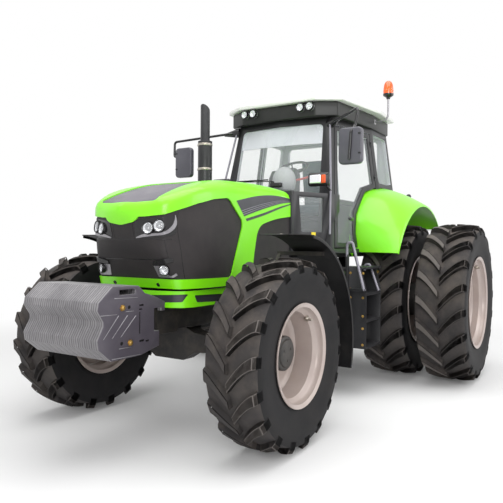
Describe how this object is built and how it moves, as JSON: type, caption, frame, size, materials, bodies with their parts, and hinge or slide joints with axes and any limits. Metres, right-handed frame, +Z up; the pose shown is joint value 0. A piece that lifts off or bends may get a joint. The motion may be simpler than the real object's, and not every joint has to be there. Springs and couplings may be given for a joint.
{
  "type": "farm tractor",
  "caption": "Four-wheel-drive farm tractor with dual rear wheels, glazed cab, tilting hood, front weight pack and rear three-point hitch.",
  "frame": {"origin": "on the ground, midway between the weights' nose and the lower links' ends, on the centre plane", "axes": "+X forward, +Y to the driver's left, +Z up"},
  "size_m": [5.43, 3.74, 3.406],
  "materials": {
    "hood_green": "gloss",
    "grille_charcoal": "satin",
    "lamp_lens": "clear",
    "tyre_rubber": "matt, dusty",
    "rim_silver": "satin",
    "chassis_black": "satin paint",
    "weight_iron": "satin",
    "cab_black": "satin",
    "black_plastic": "satin",
    "roof_white": "gloss",
    "cab_glass": "clear",
    "seat_fabric": "woven",
    "beacon_amber": "clear lens",
    "machined_steel": "bright"
  },
  "bodies": {
    "root": {"front_bumper": "hood_green", "rear_fenders": "hood_green", "front_weights": "weight_iron", "weight_carrier": "chassis_black", "front_frame": "chassis_black", "engine_block": "chassis_black", "radiator_pack": "chassis_black", "transmission_housing": "chassis_black", "drive_shaft": "machined_steel", "rear_axle_housings": "chassis_black", "front_axle": "chassis_black", "steering_barrel": "chassis_black", "cab_frame": "cab_black", "cab_floor": "cab_black", "cab_cowl": "cab_black", "cab_glazing": "cab_glass", "roof_base": "black_plastic", "roof_cap": "roof_white", "work_lamps": "lamp_lens", "beacon": "beacon_amber", "mirrors": "black_plastic", "exhaust_stack": "chassis_black", "seat_base": "black_plastic", "seat_cushions": "seat_fabric", "steering_console": "black_plastic", "fuel_tank": "black_plastic", "battery_box": "black_plastic", "entry_steps": "cab_black", "drawbar": "chassis_black", "top_link": "chassis_black"},
    "hood": {"hood_shell": "hood_green", "hood_grille": "grille_charcoal", "headlamps": "lamp_lens"},
    "cab_door_left": {"door_left": "cab_black", "door_glass_left": "cab_glass"},
    "cab_door_right": {"door_right": "cab_black", "door_glass_right": "cab_glass"},
    "hand_wheel": {"steering_wheel": "black_plastic"},
    "steer_left": {"knuckle_left": "chassis_black", "front_fender_left": "black_plastic"},
    "steer_right": {"knuckle_right": "chassis_black", "front_fender_right": "black_plastic"},
    "track_rod": {"tie_rod": "chassis_black"},
    "cylinder_rod": {"steering_rod": "machined_steel"},
    "front_wheel_left": {"front_rim_left": "rim_silver", "front_tyre_left": "tyre_rubber"},
    "front_wheel_right": {"front_rim_right": "rim_silver", "front_tyre_right": "tyre_rubber"},
    "rear_wheel_left": {"rear_rims_left": "rim_silver", "rear_tyres_left": "tyre_rubber"},
    "rear_wheel_right": {"rear_rims_right": "rim_silver", "rear_tyres_right": "tyre_rubber"},
    "hitch_arms": {"lift_arms": "chassis_black"},
    "hitch_rods": {"lift_rods": "chassis_black"},
    "hitch_links": {"lower_links": "chassis_black"},
    "pto": {"pto_shaft": "machined_steel"}
  },
  "joints": [
    {"name": "hood_tilt", "type": "hinge", "parent": "root", "child": "hood", "pos_m": [0.365, 0, 2.046], "axis": [0, -1, 0], "range_deg": [0, 50]},
    {"name": "door_left_swing", "type": "hinge", "parent": "root", "child": "cab_door_left", "pos_m": [-1.065, 0.813, 2.15], "axis": [0, -0.1386, 0.9903], "range_deg": [0, 75]},
    {"name": "door_right_swing", "type": "hinge", "parent": "root", "child": "cab_door_right", "pos_m": [-1.065, -0.813, 2.15], "axis": [0, -0.1386, -0.9903], "range_deg": [0, 75]},
    {"name": "hand_wheel_turn", "type": "hinge", "parent": "root", "child": "hand_wheel", "pos_m": [-0.54, 0, 2.385], "axis": [-0.5, 0, 0.866], "continuous": true},
    {"name": "steer_left_turn", "type": "hinge", "parent": "root", "child": "steer_left", "pos_m": [1.525, 0.78, 0.71], "axis": [0, 0, 1], "range_deg": [-30, 30]},
    {"name": "steer_right_turn", "type": "hinge", "parent": "root", "child": "steer_right", "pos_m": [1.525, -0.78, 0.71], "axis": [0, 0, 1], "range_deg": [-30, 30]},
    {"name": "track_rod_swing", "type": "hinge", "parent": "steer_left", "child": "track_rod", "pos_m": [1.335, 0.78, 0.65], "axis": [0, 0, 1], "range_deg": [-30, 30]},
    {"name": "cylinder_rod_slide", "type": "slide", "parent": "root", "child": "cylinder_rod", "axis": [0, 1, 0], "range_m": [-0.1, 0.1]},
    {"name": "front_left_spin", "type": "hinge", "parent": "steer_left", "child": "front_wheel_left", "pos_m": [1.525, 1.01, 0.71], "axis": [0, 1, 0], "continuous": true},
    {"name": "front_right_spin", "type": "hinge", "parent": "steer_right", "child": "front_wheel_right", "pos_m": [1.525, -1.01, 0.71], "axis": [0, 1, 0], "continuous": true},
    {"name": "rear_left_spin", "type": "hinge", "parent": "root", "child": "rear_wheel_left", "pos_m": [-1.525, 1.29, 0.88], "axis": [0, 1, 0], "continuous": true},
    {"name": "rear_right_spin", "type": "hinge", "parent": "root", "child": "rear_wheel_right", "pos_m": [-1.525, -1.29, 0.88], "axis": [0, 1, 0], "continuous": true},
    {"name": "hitch_lift", "type": "hinge", "parent": "root", "child": "hitch_arms", "pos_m": [-1.87, 0, 1.05], "axis": [0, 1, 0], "range_deg": [-25, 30]},
    {"name": "hitch_rod_swing", "type": "hinge", "parent": "hitch_arms", "child": "hitch_rods", "pos_m": [-2.185, 0, 1.17], "axis": [0, 1, 0], "range_deg": [-24, 20]},
    {"name": "hitch_link_swing", "type": "hinge", "parent": "root", "child": "hitch_links", "pos_m": [-1.775, 0, 0.6], "axis": [0, 1, 0], "range_deg": [-17, 20]},
    {"name": "pto_spin", "type": "hinge", "parent": "root", "child": "pto", "pos_m": [-1.975, 0, 0.64], "axis": [1, 0, 0], "continuous": true}
  ],
  "couplings": [
    {"joint": "steer_right_turn", "follows": "steer_left_turn", "ratio": 1},
    {"joint": "track_rod_swing", "follows": "steer_left_turn", "ratio": -1},
    {"joint": "cylinder_rod_slide", "follows": "steer_left_turn", "m_per_rad": -0.1814},
    {"joint": "hitch_rod_swing", "follows": "hitch_lift", "ratio": -0.79},
    {"joint": "hitch_link_swing", "follows": "hitch_lift", "ratio": 0.643}
  ]
}
